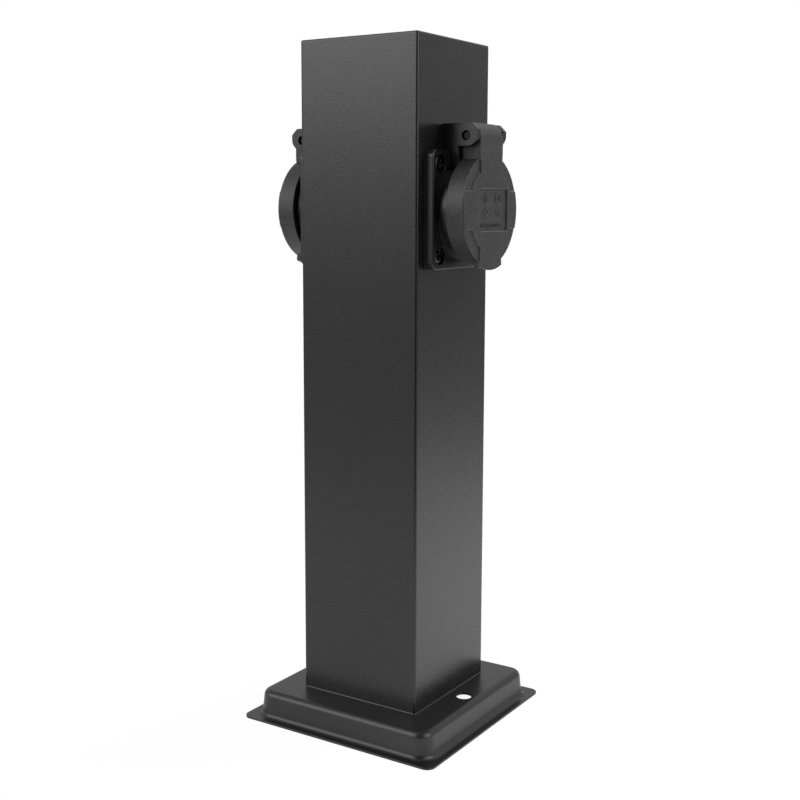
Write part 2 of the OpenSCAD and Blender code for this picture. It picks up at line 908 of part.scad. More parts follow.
// Rooms for the contacts and the earth clip, with their openings
module chambers() {
    for (side = [-1, 1]) {
        bar_u(side * contact_v, 0, rear_face - eps, floor_back, sleeve_r + slip_gap);
        bar_u(side * contact_v, 0, floor_back - eps, recess_floor + eps, pin_hole_d / 2);
        translate([rear_face - eps, side * term_v - term_w / 2 - slip_gap, term_low - slip_gap])
            cube([term_depth + slip_gap + eps, term_w + 2 * slip_gap, -term_low]);
        translate([wire_u, side * term_v, -rear_r - eps])
            cylinder(h = rear_r + term_low + 2 * eps, r = wire_r + pass_gap);
        translate([rear_face, side * contact_v, cover_screw_up])
            bar_u(0, 0, -eps, cover_screw_room, m22_r + thread_gap);
    }
    translate([rear_face - eps, -earth_pocket_w / 2, -clip_reach - pass_gap])
        cube([floor_back - rear_face + eps, earth_pocket_w, 2 * clip_reach + 2 * pass_gap]);
    translate([earth_wire_u, 0, -rear_r - eps])
        cylinder(h = rear_r + eps - clip_reach, r = wire_r + pass_gap);
    for (side = [-1, 1]) {
        translate([floor_back - eps, -clip_w / 2 - pass_gap, side * (clip_reach - clip_t / 2) - clip_t])
            cube([floor_t + 2 * eps, clip_w + 2 * pass_gap, 2 * clip_t]);
        translate([recess_floor, -clip_w / 2 - free_gap, side > 0 ? 0 : -recess_r - clip_slot_out])
            cube([recess_depth - clip_slot_rim, clip_w + 2 * free_gap, recess_r + clip_slot_out]);
    }
}

// Rubber gasket between the post and the back of the flange and hinge bracket
module flange_gasket() {
    gasket_w = flange_w - 2 * gasket_inset;
    back_w = 2 * ear_outer - 2 * gasket_inset;
    color(rubber)
        along_u(0, gasket_t)
            difference() {
                union() {
                    rounded_rect(gasket_w, gasket_w, flange_corner_r);
                    translate([-back_w / 2, 0])
                        square([back_w, hinge_up + ear_top - gasket_inset]);
                }
                circle(r = rear_r + pass_gap);
                for (v = [-1, 1], w = [-1, 1])
                    translate([v, w] * screw_pitch / 2)
                        circle(r = screw_d / 2 + pass_gap);
            }
}

// Four cross-slot screws through the flange into the post
module flange_screws() {
    shank = head_seat + post_wall + screw_grip;
    color(dark_screw)
        for (v = [-1, 1], w = [-1, 1])
            translate([head_front, v * screw_pitch / 2, w * screw_pitch / 2])
                rotate([0, 90, 0])
                    pan_screw(screw_d / 2, shank, screw_head_d / 2, screw_head_h);
}

// Two brass line contacts: a slit sleeve and a screw terminal each
module pin_contacts() {
    color(brass)
        for (side = [-1, 1])
            difference() {
                union() {
                    bar_u(side * contact_v, 0, rear_face + term_t, floor_back, sleeve_r);
                    translate([rear_face + term_t, side * term_v - term_w / 2, term_low])
                        cube([term_t, term_w, -term_low - strip_short]);
                    translate([rear_face + term_t, side * term_v - term_w / 2, term_low])
                        cube([term_depth - term_t, term_w, term_high - term_low]);
                }
                bar_u(side * contact_v, 0, rear_face - eps, floor_back + eps, sleeve_bore);
                translate([rear_face + sleeve_root, side * contact_v - sleeve_slit / 2, 0])
                    cube([floor_back - rear_face - sleeve_root + eps, sleeve_slit, sleeve_r + eps]);
                translate([wire_u, side * term_v, term_low - eps])
                    cylinder(h = term_high - term_low + 2 * eps, r = bare_r + free_gap);
                bar_u(side * term_v, (term_low + term_high) / 2, rear_face, wire_u, m25_r + thread_gap);
            }
}

// Profile of one sprung earth prong, from the bar forward into the recess
module prong_profile() {
    out = clip_reach;
    lead = recess_floor + prong_lead;
    mid = recess_floor + prong_mid;
    tip = recess_floor + prong_tip;
    polygon([
        [floor_back - clip_bar, out - clip_t],
        [lead, out - clip_t],
        [mid, out - clip_t - prong_dip],
        [tip, out - clip_t - prong_curl],
        [tip, out - prong_curl],
        [mid, out - prong_dip],
        [lead, out],
        [floor_back - clip_bar, out]
    ]);
}

// Earth clip: a bar behind the floor, two prongs in the recess and a screw terminal
module earth_clip() {
    color(steel)
        difference() {
            union() {
                translate([floor_back - clip_bar, -clip_w / 2, -clip_reach])
                    cube([clip_bar, clip_w, 2 * clip_reach]);
                across_v(-clip_w / 2, clip_w / 2)
                    prong_profile();
                across_v(-clip_w / 2, clip_w / 2)
                    mirror([0, 1])
                        prong_profile();
                translate([earth_term_back, -earth_term / 2, term_low])
                    cube([earth_term_len + clip_bar / 2, earth_term, term_high - term_low]);
            }
            translate([earth_wire_u, 0, term_low - eps])
                cylinder(h = term_high - term_low + 2 * eps, r = bare_r + free_gap);
            bar_u(0, (term_low + term_high) / 2, earth_term_back - eps, earth_wire_u, m25_r + thread_gap);
        }
}

// Three terminal screws, two for the line contacts and one for the earth clip
module terminal_screws() {
    mid = (term_low + term_high) / 2;
    line_len = wire_in - term_t - screw_short;
    earth_len = earth_term_in - screw_short;
    color(steel) {
        for (side = [-1, 1])
            translate([rear_face + slip_gap, side * term_v, mid])
                rotate([0, -90, 0])
                    pan_screw(m25_r, line_len, m25_head_r, term_t - slip_gap, small_slot_w);
        translate([earth_term_back - m25_head_h, 0, mid])
            rotate([0, -90, 0])
                pan_screw(m25_r, earth_len, m25_head_r, m25_head_h, small_slot_w);
    }
}

// Cover over the contact chambers
module rear_cover() {
    color(plastic)
        difference() {
            bar_u(0, 0, cover_back, rear_face, rear_r);
            for (side = [-1, 1])
                translate([cover_back, side * contact_v, cover_screw_up])
                    bar_u(0, 0, -eps, cover_t + eps, m25_r + slip_gap);
        }
}

// Two screws that hold the rear cover
module cover_screws() {
    color(steel)
        for (side = [-1, 1])
            translate([cover_back - m25_head_h, side * contact_v, cover_screw_up])
                rotate([0, -90, 0])
                    pan_screw(m22_r, cover_t + cover_screw_len, m25_head_r, m25_head_h, small_slot_w);
}

// Raised strip from the neck down to the finger tab, narrower at its waist
module lid_strip() {
    reach = lid_r + tab_out + eps;
    waist = sqrt(pow(lid_disc_r, 2) - pow(strip_waist / 2, 2));
    for (side = [-1, 1])
        polygon([
            [-strip_waist / 2, 0],
            [-strip_waist / 2, side * waist],
            [-neck_w / 2, side * lid_r],
            [-neck_w / 2, side * reach],
            [neck_w / 2, side * reach],
            [neck_w / 2, side * lid_r],
            [strip_waist / 2, side * waist],
            [strip_waist / 2, 0]
        ]);
}

// Four crescents between the raised disc, band and strip
module crescents() {
    difference() {
        circle(r = lid_r + tab_out);
        circle(r = lid_disc_r);
        square([3 * lid_r, lid_band_h], center = true);
        lid_strip();
    }
}

// Finger tab below the lid
module finger_tab() {
    intersection() {
        circle(r = lid_r + tab_out);
        translate([-neck_w / 2, -lid_r - tab_out])
            square([neck_w, tab_out + tab_in]);
    }
}

// Neck with its hinge barrel, open at the back for the spring
module lid_neck() {
    half = neck_w / 2;
    neck_low = lid_r - neck_in;
    across_v(-half, half)
        translate([lid_plate_in, neck_low])
            square([lid_plate_t, hinge_up - neck_low]);
    for (side = [-1, 1])
        across_v(side > 0 ? half - neck_wall : -half, side > 0 ? half : -half + neck_wall)
            translate([lid_back, neck_low])
                square([lid_depth, hinge_up - neck_low]);
    across_v(-half, half)
        translate([hinge_out, hinge_up])
            intersection() {
                difference() {
                    circle(r = barrel_r);
                    circle(r = shell_inner);
                }
                translate([shell_end, 0])
                    square(2 * barrel_r);
            }
    for (side = [-1, 1])
        across_v(side > 0 ? boss_inner : -half, side > 0 ? half : -boss_inner)
            translate([hinge_out, hinge_up])
                circle(r = barrel_r);
    across_v(-boss_inner, boss_inner)
        translate([hinge_out + ledge_in, hinge_up - ledge_drop - ledge_t])
            square([barrel_r - ledge_in, ledge_t]);
}

// Sprung lid: cup with raised front, finger tab, neck and hinge barrel
module lid() {
    color(plastic)
        difference() {
            union() {
                spin_u()
                    turned_block(lid_r, lid_back, lid_front, lid_edge_r);
                along_u(lid_plate_in, lid_front)
                    finger_tab();
                lid_neck();
            }
            spin_u()
                translate([0, lid_back - eps])
                    square([lid_r - lid_wall, lid_plate_in - lid_back + eps]);
            along_u(lid_front - crescent_depth, lid_front + eps)
                crescents();
            along_u(lid_front - panel_depth, lid_front + eps)
                translate([panel_shift, 0])
                    rounded_rect(panel_w, panel_h, panel_r);
            translate([hinge_out, -neck_w / 2 - eps, hinge_up])
                rotate([-90, 0, 0])
                    cylinder(h = neck_w + 2 * eps, r = pin_r + thread_gap);
            translate([hinge_out, -boss_inner, hinge_up])
                rotate([-90, 0, 0])
                    cylinder(h = 2 * boss_inner, r = shell_inner);
        }
}

// Rubber ring in the lid that meets the collar's rim
module lid_seal() {
    color(rubber)
        spin_u()
            translate([recess_r - seal_in, lid_plate_in - seal_t])
                square([lid_r - lid_wall - slip_gap - recess_r + seal_in, seal_t]);
}

// Steel hinge pin with rounded ends, sunk in the ears
module hinge_pin() {
    pin_half = ear_outer - pin_sink;
    color(dark_screw)
        translate([hinge_out, 0, hinge_up])
            for (end = [-90, 90])
                rotate([end, 0, 0])
                    rotate_extrude()
                        turned_block(pin_r, -eps, pin_half, pin_dome);
}

// Path of the lid spring: a leg on the fixed seat, its turns, and a leg on the lid's ledge
function spring_path() =
    let (len = spring_pitch * spring_turns, steps = rings_per_turn * spring_turns, low = hinge_up - spring_r)
        concat(
            [[stop_reach - leg_tip, -len / 2, low], [hinge_out - leg_bend, -len / 2, low]],
            [
                for (i = [0:steps])
                    let (turn = 360 * i / rings_per_turn - 90)
                        [
                            hinge_out + spring_r * cos(turn),
                            -len / 2 + len * i / steps,
                            hinge_up + spring_r * sin(turn)
                        ]
            ],
            [
                [hinge_out + lid_leg_bend, len / 2, low],
                [hinge_out + barrel_r - lid_plate_t - free_gap, len / 2, low]
            ]
        );

// Least gap between one turn of the lid spring and any other
function spring_gap(path) = min([
    for (i = [0:len(path) - 1], k = [0:len(path) - 1])
        if (k - i >= rings_per_turn / 2)
            norm(path[i] - path[k]) - spring_wire_d
]);
echo(lid_spring_least_gap_mm = spring_gap(spring_path()));

// Torsion spring that closes the lid
module lid_spring() {
    path = spring_path();
    color(steel)
        tube_along(path, [for (p = path) spring_wire_r], spring_sides);
}

post_tube();
top_cap();
base_plate();
post_screws();
cable_grommet();
terminal_bracket();
terminal_block();
terminal_tubes();
clamp_screws();
block_screws();
earth_bolt();
earth_nut();
earth_lug();
live_wires();
neutral_wires();
earth_wires();
on_side(0) socket_housing();  // socket_housing_right
on_side(0) flange_gasket();  // flange_gasket_right
on_side(0) flange_screws();  // flange_screws_right
on_side(0) pin_contacts();  // pin_contacts_right
on_side(0) earth_clip();  // earth_clip_right
on_side(0) terminal_screws();  // terminal_screws_right
on_side(0) rear_cover();  // rear_cover_right
on_side(0) cover_screws();  // cover_screws_right
on_side(0) lid();  // lid_right
on_side(0) lid_seal();  // lid_seal_right
on_side(0) hinge_pin();  // hinge_pin_right
on_side(0) lid_spring();  // lid_spring_right
on_side(180) socket_housing();  // socket_housing_left
on_side(180) flange_gasket();  // flange_gasket_left
on_side(180) flange_screws();  // flange_screws_left
on_side(180) pin_contacts();  // pin_contacts_left
on_side(180) earth_clip();  // earth_clip_left
on_side(180) terminal_screws();  // terminal_screws_left
on_side(180) rear_cover();  // rear_cover_left
on_side(180) cover_screws();  // cover_screws_left
on_side(180) lid();  // lid_left
on_side(180) lid_seal();  // lid_seal_left
on_side(180) hinge_pin();  // hinge_pin_left
on_side(180) lid_spring();  // lid_spring_left
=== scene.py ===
"""Looks of a garden socket post: powder-coated steel, moulded black sockets and their small parts.

Metres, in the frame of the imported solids: +Z up the post, the sockets face +X and -X.
"""
import json
import math

import bmesh
import bpy
import numpy as np
from mathutils import Matrix, Vector


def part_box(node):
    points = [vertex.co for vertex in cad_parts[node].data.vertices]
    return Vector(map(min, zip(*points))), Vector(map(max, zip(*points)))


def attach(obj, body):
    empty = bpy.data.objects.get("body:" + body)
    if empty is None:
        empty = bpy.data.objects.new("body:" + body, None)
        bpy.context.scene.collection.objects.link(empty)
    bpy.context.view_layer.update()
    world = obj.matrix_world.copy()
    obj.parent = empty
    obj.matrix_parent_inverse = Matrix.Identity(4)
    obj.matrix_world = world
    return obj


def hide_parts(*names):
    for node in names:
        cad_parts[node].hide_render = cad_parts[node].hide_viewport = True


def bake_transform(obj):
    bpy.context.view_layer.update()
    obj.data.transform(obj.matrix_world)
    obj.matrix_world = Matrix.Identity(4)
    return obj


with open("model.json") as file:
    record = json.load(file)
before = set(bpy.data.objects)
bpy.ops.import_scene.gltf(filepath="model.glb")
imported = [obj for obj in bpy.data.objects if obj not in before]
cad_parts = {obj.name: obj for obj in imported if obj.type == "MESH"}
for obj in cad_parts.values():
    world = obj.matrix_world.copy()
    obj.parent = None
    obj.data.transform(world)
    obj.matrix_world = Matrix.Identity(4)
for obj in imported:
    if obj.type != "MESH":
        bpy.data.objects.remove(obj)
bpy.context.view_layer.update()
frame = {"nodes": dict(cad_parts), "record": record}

MM = 0.001
SIDES = {"right": 1, "left": -1}
LID_BODY = {"right": "right_lid", "left": "left_lid"}

# Camera, fitted to the outlines of the post and its base: degrees, metres and millimetres of lens
CAMERA_AZIMUTH = 32.979
CAMERA_ELEVATION = 7.671
CAMERA_ROLL = 0.147
CAMERA_DISTANCE = 0.55645
CAMERA_AIM = Vector((0.0, 0.0, 0.160))
CAMERA_LENS = 55.058
CAMERA_SENSOR = 36.0
CAMERA_SHIFT = (0.00571, -0.03995)
CAMERA_CLIP = (0.01, 50.0)

# Level ways to the unlit side of the room and to its pale wall, with the angles where each is full and ends
DARK_SIDE = (0.407, -0.914, 0.0)
DARK_ANGLES = (33.0, 39.0)
PALE_SIDE = (-0.545, -0.839, 0.0)
PALE_ANGLES = (25.0, 38.0)

# Light of the walls: level at the floor, rise with height up to an end, and fall towards the ceiling
WALL_LEVEL = 0.28
WALL_RISE = 1.1
WALL_RISE_END = 0.6
CEILING_FALL = 1.6
CEILING_START = 0.5
CEILING_FALL_END = 0.5
PALE_WALL_LIGHT = 0.7
DARK_SIDE_LOSS = 0.85
WALL_WHITE_IN_GLOSS = 0.2

# Floor: half its side and the middle of its painted pool of light, then where changes start and their rise in a
# metre
FLOOR_REACH = 8.0
PATCH_MIDDLE = (-0.044, -0.067, 0.0)
FADE_START = 0.25
FADE_RISE = 1.8
FADE_BY_DARK = 1.5
DARK_START = 0.32
DARK_RISE = 5.0
CLEAR_START = 0.2 / 3.0
CLEAR_RISE = 3.0

# Tones of the floor's paper with its painted falloff of light from near to far, the painted shade of the room's
# unlit side, and the white that the camera and reflections find on it
PAINTED_FALLOFF_TONES = ((0.9, 0.9, 0.9), (0.2, 0.2, 0.2))
PAINTED_UNLIT_TONES = ((1.0, 1.0, 1.0), (0.15, 0.15, 0.15))
FLOOR_WHITE = 0.92
PATCH_GLINT = 0.40
FAR_GLINT = 0.24
PALE_GLINT = 0.2

# Lid spring
SPRING_WIRE_R = 0.4 * MM
SPRING_COIL_R = 3.0 * MM
SPRING_TURNS = 5
SPRING_PITCH = 1.6 * MM
SPRING_FIXED_LEG = 5.1 * MM
SPRING_LID_LEG = 2.5 * MM

# Sunk panel in the lid's front, and the marks raised in it
PANEL_DEPTH = 0.6 * MM
PANEL_SHIFT = 1.9 * MM
MARK_RISE = 0.35 * MM
MARK_WIDTH = 0.7 * MM
MARK_SINK = 0.05 * MM

# Places and sizes of the marks, across and up from the panel's middle
LEFT_COLUMN = -5.8 * MM
RIGHT_COLUMN = 5.0 * MM
DROP_UP = 5.0 * MM
DROP_HALF_W = 1.5 * MM
DROP_HALF_H = 2.1 * MM
PLUG_UP = 4.9 * MM
PLUG_R = 2.1 * MM
PIN_OUT = 0.8 * MM
PIN_HALF_H = 0.45 * MM
LOZENGE_UP = -0.9 * MM
LOZENGE_R = 2.0 * MM
BLOCK_UP = -1.2 * MM
BLOCK_OUT = 1.0 * MM
BLOCK_HALF_H = 1.4 * MM
BLOCK_WIDTH = 1.3 * MM
BAR_UP = -6.5 * MM
BAR_HALF_H = 0.9 * MM
BAR_FIRST = -9.8 * MM
BAR_LAST = 8.2 * MM
BAR_COUNT = 11

# Bead of paint where the post stands on its base
BEAD_R = 0.45 * MM
BEAD_TUCK = 0.2 * BEAD_R
POST_EDGE_R = 1.0 * MM

# Radius by which each finish rolls over edges
COAT_EDGE = 0.7 * MM
BEAD_EDGE = 0.02 * MM
LID_EDGE = 0.5 * MM
MARK_EDGE = 0.2 * MM
HOUSING_EDGE = 0.25 * MM
RUBBER_EDGE = 0.2 * MM
SCREW_EDGE = 0.25 * MM
METAL_EDGE = 0.15 * MM
PLAIN_EDGE = 0.2 * MM
SHARP_EDGE = 0.02 * MM

# Height of the grain in each finish
POST_PEBBLES = 0.05 * MM
BASE_PEBBLES = 0.015 * MM
LID_GRAIN = 0.08 * MM
HOUSING_RIPPLE = 0.02 * MM
RUBBER_GRAIN = 0.04 * MM
SCREW_GRAIN = 0.02 * MM
METAL_STREAK = 0.01 * MM
PLAIN_MOTTLE = 0.05 * MM

# Least roughness of the powder coat on the post, and on the base with its lower pebbles
POST_ROUGH = 0.17
BASE_ROUGH = 0.24

# Dark and light tones of the black finishes
COAT_TONES = ((0.001, 0.001, 0.001), (0.012, 0.012, 0.0124))
LID_TONES = ((0.002, 0.002, 0.0021), (0.036, 0.036, 0.037))
# Pale grey painted highlight that the lids' edges blend towards
LID_PAINTED_EDGE_HIGHLIGHT = (0.12, 0.12, 0.12)
HOUSING_TONES = ((0.001, 0.001, 0.001), (0.003, 0.003, 0.0031))
RUBBER_TONES = ((0.006, 0.006, 0.006), (0.016, 0.016, 0.016))
SCREW_TONES = ((0.08, 0.08, 0.084), (0.15, 0.15, 0.156))
PIN_TONES = ((0.002, 0.002, 0.002), (0.004, 0.004, 0.004))

# Dark and light tones of the pieces inside
ZINC_TONES = ((0.50, 0.51, 0.53), (0.68, 0.69, 0.71))
SPRING_TONES = ((0.36, 0.36, 0.37), (0.52, 0.52, 0.53))
BRASS_TONES = ((0.62, 0.42, 0.14), (0.78, 0.56, 0.22))
NYLON_TONES = ((0.66, 0.64, 0.56), (0.78, 0.76, 0.68))
BROWN_TONES = ((0.10, 0.035, 0.012), (0.15, 0.055, 0.02))
BLUE_TONES = ((0.02, 0.07, 0.30), (0.03, 0.10, 0.40))
GREEN_AND_YELLOW = ((0.03, 0.22, 0.04), (0.72, 0.58, 0.03))


class Flow:
    """A shader socket in Python arithmetic: operators add Math nodes, and make adds any other node."""

    def __init__(self, tree, socket=None):
        self.tree = tree
        self.socket = socket

    def make(self, kind, settings=None, inputs=None, out=0):
        node = self.tree.nodes.new(kind)
        for key, value in (settings or {}).items():
            setattr(node, key, value)
        for key, value in (inputs or {}).items():
            socket = self.pick(node.inputs, key)
            if isinstance(value, Flow):
                self.tree.links.new(value.socket, socket)
            else:
                socket.default_value = value
        return Flow(self.tree, self.pick(node.outputs, out))

    @staticmethod
    def pick(sockets, key):
        if isinstance(key, int):
            return sockets[key]
        return next(s for s in sockets if s.name == key and s.enabled)

    def math(self, operation, a, b):
        return self.make("ShaderNodeMath", {"operation": operation}, {0: a, 1: b})

    def vector(self, operation, a, b=None, out=0):
        inputs = {0: a} if b is None else {0: a, 1: b}
        return self.make("ShaderNodeVectorMath", {"operation": operation}, inputs, out)

    def __add__(self, other):
        return self.math("ADD", self, other)

    def __radd__(self, other):
        return self.math("ADD", other, self)

    def __sub__(self, other):
        return self.math("SUBTRACT", self, other)

    def __rsub__(self, other):
        return self.math("SUBTRACT", other, self)

    def __mul__(self, other):
        return self.math("MULTIPLY", self, other)

    def __rmul__(self, other):
        return self.math("MULTIPLY", other, self)

    def held(self, high):
        """The value kept from 0 to a highest one."""
        return self.math("MINIMUM", self.math("MAXIMUM", self, 0.0), high)


def start_material(name):
    """A new material with its shader, and the flow that its nodes hang on."""
    material = bpy.data.materials.new(name)
    material.use_nodes = True
    tree = material.node_tree
    shader = tree.nodes["Principled BSDF"]
    return material, shader, Flow(tree)


def plug(shader, **links):
    """Links flows to the shader's sockets, whose names have underscores for spaces here."""
    for name, flow in links.items():
        flow.tree.links.new(flow.socket, shader.inputs[name.replace("_", " ")])


def object_place(flow):
    """Place in the piece's own frame, in metres."""
    return flow.make("ShaderNodeTexCoord", {}, {}, "Object")


def noise(flow, place, scale, detail=2.0, roughness=0.5):
    """Cloudy pattern about 0.5, with the scale in cells per metre."""
    inputs = {"Vector": place, "Scale": scale, "Detail": detail, "Roughness": roughness}
    return flow.make("ShaderNodeTexNoise", {}, inputs, 0)


def mixed(flow, factor, a, b):
    """Colour a where factor is 0 and b where it is 1; a may be a flow."""
    first = a if isinstance(a, Flow) else (*a, 1.0)
    inputs = {"Factor": factor, "A": first, "B": (*b, 1.0)}
    return flow.make("ShaderNodeMix", {"data_type": "RGBA"}, inputs, "Result")


def soft_edges(flow, radius):
    """Normal that rolls over sharp edges within the radius."""
    return flow.make("ShaderNodeBevel", {"samples": 6}, {"Radius": radius}, 0)


def edge_polish_and_painted_highlight(flow, radius):
    """Share of polish and of painted highlight on an edge: 0 on flats, and 1 where the rolled normal leans well
    off the face.
    """
    gain = 5.0
    same = flow.vector("DOT_PRODUCT", soft_edges(flow, SHARP_EDGE), soft_edges(flow, radius), "Value")
    return (gain - gain * same).held(1.0)


def bumped(flow, pattern, height, normal, strength=1.0):
    """Normal that follows a pattern of a given height."""
    inputs = {"Strength": strength, "Distance": height, "Height": pattern, "Normal": normal}
    return flow.make("ShaderNodeBump", {}, inputs, 0)


def powder_coat(name, edge, height, rough):
    """Black powder coat: pebbles of a given height with paler specks, and slow clouds in its gloss."""
    material, shader, flow = start_material(name)
    place = object_place(flow)
    specks = noise(flow, place, scale=2600.0, roughness=0.6)
    pebbles = noise(flow, place, scale=1600.0, roughness=0.6)
    clouds = noise(flow, place, scale=22.0)
    tone = 2.6 * specks + 0.3 * clouds - 1.1
    skin = 0.6 * pebbles + 0.4 * specks
    plug(
        shader,
        Base_Color=mixed(flow, tone, *COAT_TONES),
        Roughness=rough + 0.16 * pebbles + 0.04 * clouds,
        Normal=bumped(flow, skin, height, soft_edges(flow, edge)),
    )
    return material


def moulded_plastic(name, edge):
    """Matt black plastic of the lids: a fine spark-eroded grain, worn smooth on edges, where a painted
    highlight makes the colour paler.
    """
    material, shader, flow = start_material(name)
    place = object_place(flow)
    grain = noise(flow, place, scale=1700.0, roughness=0.7)
    clouds = noise(flow, place, scale=60.0)
    tone = 3.2 * grain + 0.3 * clouds - 1.3
    worn_and_highlit = edge_polish_and_painted_highlight(flow, edge)
    rough = 0.38 + 0.14 * grain + 0.06 * clouds
    skin = grain * (1.0 - 0.8 * worn_and_highlit)
    plug(
        shader,
        # painted highlight: the colour turns paler grey on edges, while the lower roughness there is real
        # polish
        Base_Color=mixed(flow, 0.5 * worn_and_highlit, mixed(flow, tone, *LID_TONES), LID_PAINTED_EDGE_HIGHLIGHT),
        Roughness=rough * (1.0 - 0.65 * worn_and_highlit),
        Normal=bumped(flow, skin, LID_GRAIN, soft_edges(flow, edge)),
    )
    return material


def polished_plastic():
    """Smooth black plastic of the housings, with only a faint ripple."""
    material, shader, flow = start_material("smooth_black_plastic")
    place = object_place(flow)
    ripple = noise(flow, place, scale=420.0)
    clouds = noise(flow, place, scale=60.0)
    plug(
        shader,
        Base_Color=mixed(flow, 0.5 * ripple + 0.5 * clouds, *HOUSING_TONES),
        Roughness=0.25 + 0.10 * ripple + 0.06 * clouds,
        Normal=bumped(flow, ripple, HOUSING_RIPPLE, soft_edges(flow, HOUSING_EDGE), strength=0.3),
    )
    return material


def black_rubber():
    """Dull black rubber of the gaskets, seals and grommet."""
    material, shader, flow = start_material("black_rubber")
    grain = noise(flow, object_place(flow), scale=1400.0, detail=3.0, roughness=0.6)
    plug(
        shader,
        Base_Color=mixed(flow, grain, *RUBBER_TONES),
        Roughness=0.72 + 0.16 * grain,
        Normal=bumped(flow, grain, RUBBER_GRAIN, soft_edges(flow, RUBBER_EDGE), strength=0.3),
    )
    return material


def black_screw():
    """Black passivated steel: a dark glossy metal with a fine grain."""
    material, shader, flow = start_material("black_passivated_screw")
    shader.inputs["Metallic"].default_value = 1.0
    grain = noise(flow, object_place(flow), scale=2600.0, detail=3.0, roughness=0.7)
    plug(
        shader,
        Base_Color=mixed(flow, grain, *SCREW_TONES),
        Roughness=0.10 + 0.14 * grain,
        Normal=bumped(flow, grain, SCREW_GRAIN, soft_edges(flow, SCREW_EDGE), strength=0.25),
    )
    return material


def plated_metal(name, tones, rough):
    """Plated or bare metal: fine drawn streaks over a slow change of tone."""
    material, shader, flow = start_material(name)
    shader.inputs["Metallic"].default_value = 1.0
    place = object_place(flow)
    stretched = flow.make("ShaderNodeMapping", {}, {"Vector": place, "Scale": (1.0, 1.0, 0.15)})
    streaks = noise(flow, stretched, scale=5200.0, detail=3.0, roughness=0.6)
    clouds = noise(flow, place, scale=140.0)
    plug(
        shader,
        Base_Color=mixed(flow, 0.5 * streaks + 0.5 * clouds, *tones),
        Roughness=rough + 0.12 * streaks + 0.08 * clouds,
        Normal=bumped(flow, streaks, METAL_STREAK, soft_edges(flow, METAL_EDGE), strength=0.3),
    )
    return material


def plain_plastic(name, tones, rough):
    """Smooth plastic, a little mottled, of the wiring and the hinge pins."""
    material, shader, flow = start_material(name)
    mottle = noise(flow, object_place(flow), scale=300.0, detail=3.0)
    plug(
        shader,
        Base_Color=mixed(flow, mottle, *tones),
        Roughness=rough + 0.12 * mottle,
        Normal=bumped(flow, mottle, PLAIN_MOTTLE, soft_edges(flow, PLAIN_EDGE), strength=0.15),
    )
    return material


def striped_insulation():
    """Green insulation with a yellow stripe wound round it."""
    material, shader, flow = start_material("green_yellow_insulation")
    inputs = {"Vector": object_place(flow), "Scale": 60.0}
    wave = flow.make("ShaderNodeTexWave", {"bands_direction": "DIAGONAL"}, inputs, "Fac")
    stripe = (6.0 * wave - 2.5).held(1.0)
    plug(
        shader,
        Base_Color=mixed(flow, stripe, *GREEN_AND_YELLOW),
        Roughness=0.38 + 0.08 * wave,
    )
    return material


def quads(rows, columns, wrap_rows, wrap_columns):
    """Corner numbers of every cell of a grid, as an array of quads."""
    down = np.arange(rows if wrap_rows else rows - 1)[:, None]
    along = np.arange(columns if wrap_columns else columns - 1)[None, :]
    below = (down + 1) % rows
    beside = (along + 1) % columns
    corners = (
        down * columns + along,
        down * columns + beside,
        below * columns + beside,
        below * columns + along,
    )
    return np.stack(np.broadcast_arrays(*corners), -1).reshape(-1, 4)


def surface(name, *sheets):
    """Mesh object from sheets, each a grid of points (rows, columns, 3) and whether its rows and its
    columns close on themselves. Points that fall together are merged, and faces are turned outwards."""
    points = []
    faces = []
    count = 0
    for grid, wrap_rows, wrap_columns in sheets:
        points.append(grid.reshape(-1, 3))
        faces.append(quads(*grid.shape[:2], wrap_rows, wrap_columns) + count)
        count += len(points[-1])
    mesh = bpy.data.meshes.new(name)
    mesh.from_pydata(np.concatenate(points).tolist(), [], np.concatenate(faces).tolist())
    work = bmesh.new()
    work.from_mesh(mesh)
    bmesh.ops.remove_doubles(work, verts=work.verts, dist=1e-7)
    bmesh.ops.recalc_face_normals(work, faces=work.faces)
    work.to_mesh(mesh)
    work.free()
    mesh.shade_smooth()
    piece = bpy.data.objects.new(name, mesh)
    bpy.context.scene.collection.objects.link(piece)
    return piece


def unit(vectors):
    """The same directions with length 1."""
    return vectors / np.linalg.norm(vectors, axis=-1, keepdims=True)


def round_tube(path, radius, sides=14, dome_rings=5):
    """A circle carried along a path, one side of it square to Y. Its radius follows a quarter circle over
    the first and the last rings, so that both ends are domes."""
    swing = np.linspace(0.0, np.pi / 2.0, dome_rings)
    step_in = radius * (1.0 - np.cos(swing))[:, None]
    first_dome = path[0] + step_in * unit(path[1] - path[0])
    last_dome = path[-1] + step_in[::-1] * unit(path[-2] - path[-1])
    line = np.concatenate([first_dome, path[1:-1], last_dome])
    radii = np.full(len(line), radius)
    radii[:dome_rings] = radius * np.sin(swing)
    radii[-dome_rings:] = radius * np.sin(swing)[::-1]
    heading = unit(np.gradient(line, axis=0))
    normal = unit(np.cross(heading, np.array([0.0, 1.0, 0.0])))
    binormal = np.cross(heading, normal)
    turn = np.linspace(0.0, 2.0 * np.pi, sides, endpoint=False)[None, :, None]
    circle = np.cos(turn) * normal[:, None] + np.sin(turn) * binormal[:, None]
    return line[:, None] + radii[:, None, None] * circle, False, True


def dressed(piece, body, material):
    """Gives a new piece its finish and the body it moves with."""
    piece.data.materials.append(material)
    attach(piece, body)


def middle(node):
    """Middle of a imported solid's box."""
    low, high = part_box(node)
    return (np.array(low) + np.array(high)) / 2.0


